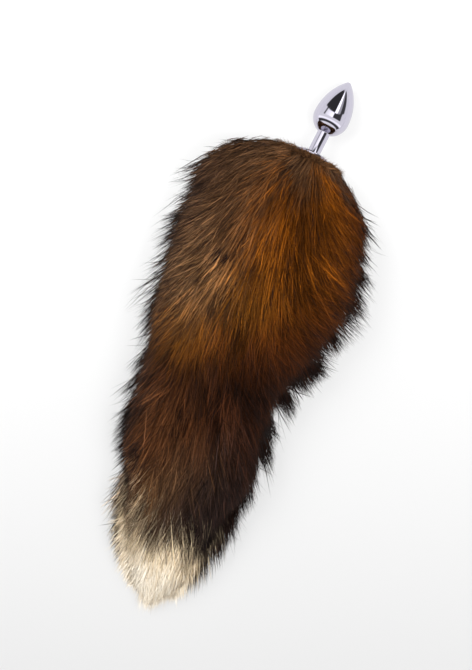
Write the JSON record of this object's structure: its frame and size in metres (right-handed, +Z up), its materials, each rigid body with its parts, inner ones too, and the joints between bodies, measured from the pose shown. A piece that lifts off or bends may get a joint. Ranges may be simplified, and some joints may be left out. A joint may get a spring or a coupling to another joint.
{
  "type": "fox tail butt plug",
  "caption": "Polished metal teardrop plug with a round flange, carrying a full brown fox tail with a pale tip, lying flat.",
  "frame": {"origin": "centre of the whole object's box, on the surface that it lies on", "axes": "+Z up off that surface, +Y from the tail's tip towards the plug, +X to the right seen from above with the plug up"},
  "size_m": [0.202, 0.415, 0.0839],
  "materials": {
    "plug_metal": "mirror polished",
    "post_steel": "turned, plain",
    "brown_fur": "brushed long fur with dark guard hairs",
    "pale_fur": "brushed long fur, cream to white"
  },
  "bodies": {
    "root": {"plug": "plug_metal", "tail_post": "post_steel", "tail_fur": "brown_fur", "tip_fur": "pale_fur"}
  },
  "joints": []
}
